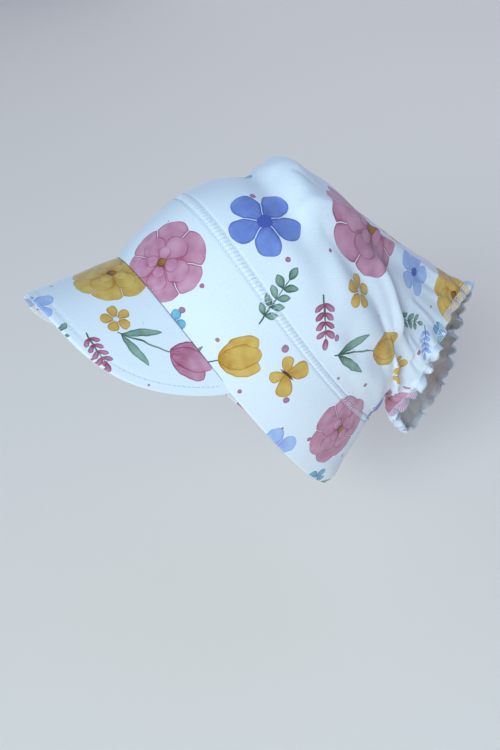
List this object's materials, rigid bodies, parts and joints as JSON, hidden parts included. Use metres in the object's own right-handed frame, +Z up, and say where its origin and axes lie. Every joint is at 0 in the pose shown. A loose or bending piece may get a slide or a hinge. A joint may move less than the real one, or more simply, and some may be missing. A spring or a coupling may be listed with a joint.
{
  "type": "visor headscarf cap",
  "caption": "Soft sewn sun cap: a curved visor over the forehead, a double band round the head, and a gathered headscarf crown that ends in an open ruffled tail.",
  "frame": {"origin": "head seat: the place inside the top of the crown where the head carries the cap", "axes": "+Z up as worn, the face looks along -Y, the wearer's left side is +X"},
  "size_m": [0.1454, 0.323, 0.2159],
  "materials": {
    "visor_cloth": "floral printed cotton jersey over a stiffener, topstitched",
    "band_cloth": "floral printed cotton jersey, double",
    "crown_cloth": "floral printed cotton jersey, plain off-white inside",
    "overlock_edge": "jersey edge wrapped in white overlock thread",
    "thread": "white polyester sewing thread"
  },
  "bodies": {
    "root": {"visor": "visor_cloth", "band": "band_cloth", "crown": "crown_cloth", "tail": "crown_cloth", "hem": "overlock_edge"}
  },
  "joints": []
}
